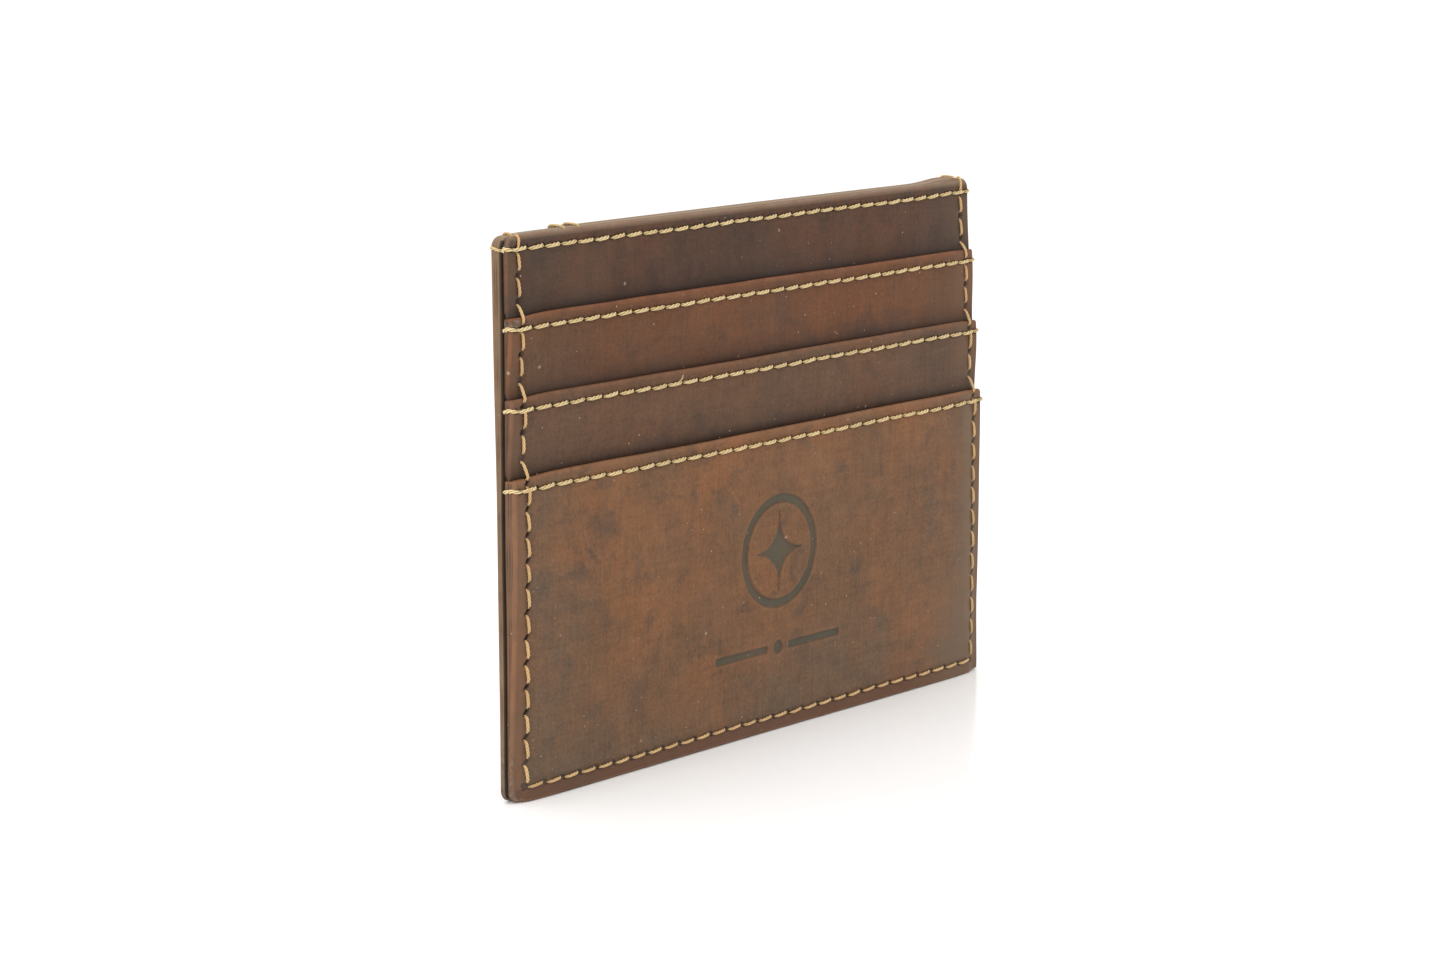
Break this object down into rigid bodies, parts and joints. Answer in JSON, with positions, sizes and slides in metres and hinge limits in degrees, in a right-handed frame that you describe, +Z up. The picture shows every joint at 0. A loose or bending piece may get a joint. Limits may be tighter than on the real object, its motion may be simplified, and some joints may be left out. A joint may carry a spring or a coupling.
{
  "type": "minimalist wallet",
  "caption": "Slim leather card holder with stepped card pockets, an open centre pocket, a side-entry window pocket and contrast stitching.",
  "frame": {"origin": "middle of the long bottom edge, on the plane where the two sewn leaves meet", "axes": "+X along the width, -Y out of the face with the stepped card pockets, +Z up towards the open mouth"},
  "size_m": [0.1032, 0.0062, 0.0763],
  "materials": {
    "band_leather": "waxed, dark brown",
    "upper_leather": "waxed, red brown",
    "middle_leather": "waxed, grey brown",
    "panel_leather": "waxed and mottled, medium brown",
    "back_leather": "waxed, brown",
    "frame_leather": "waxed, brown",
    "binding_leather": "waxed, brown",
    "lining_fabric": "woven",
    "centre_lining": "woven twill",
    "interlining": "non-woven",
    "shield_film": "metallised film",
    "clear_film": "clear",
    "row_thread": "twisted waxed thread",
    "seam_thread": "twisted waxed thread",
    "hidden_thread": "thin sewing thread"
  },
  "bodies": {
    "root": {"front_top_band": "band_leather", "upper_pocket_front": "upper_leather", "middle_pocket_front": "middle_leather", "lower_pocket_front": "panel_leather", "back_panel": "back_leather", "id_window_frame": "frame_leather", "id_entry_binding": "binding_leather", "upper_pocket_lining": "lining_fabric", "middle_pocket_lining": "lining_fabric", "lower_pocket_lining": "lining_fabric", "front_base_lining": "lining_fabric", "front_lining": "centre_lining", "back_lining": "centre_lining", "back_interlining": "interlining", "rfid_shield_front": "shield_film", "rfid_shield_back": "shield_film", "id_window_sheet": "clear_film", "top_band_stitch": "row_thread", "upper_pocket_stitch": "row_thread", "middle_pocket_stitch": "row_thread", "lower_pocket_stitch": "row_thread", "upper_pocket_floor_stitch": "hidden_thread", "middle_pocket_floor_stitch": "hidden_thread", "back_top_stitch": "row_thread", "id_window_stitch": "row_thread", "id_binding_stitch": "row_thread", "perimeter_stitch": "seam_thread"}
  },
  "joints": []
}
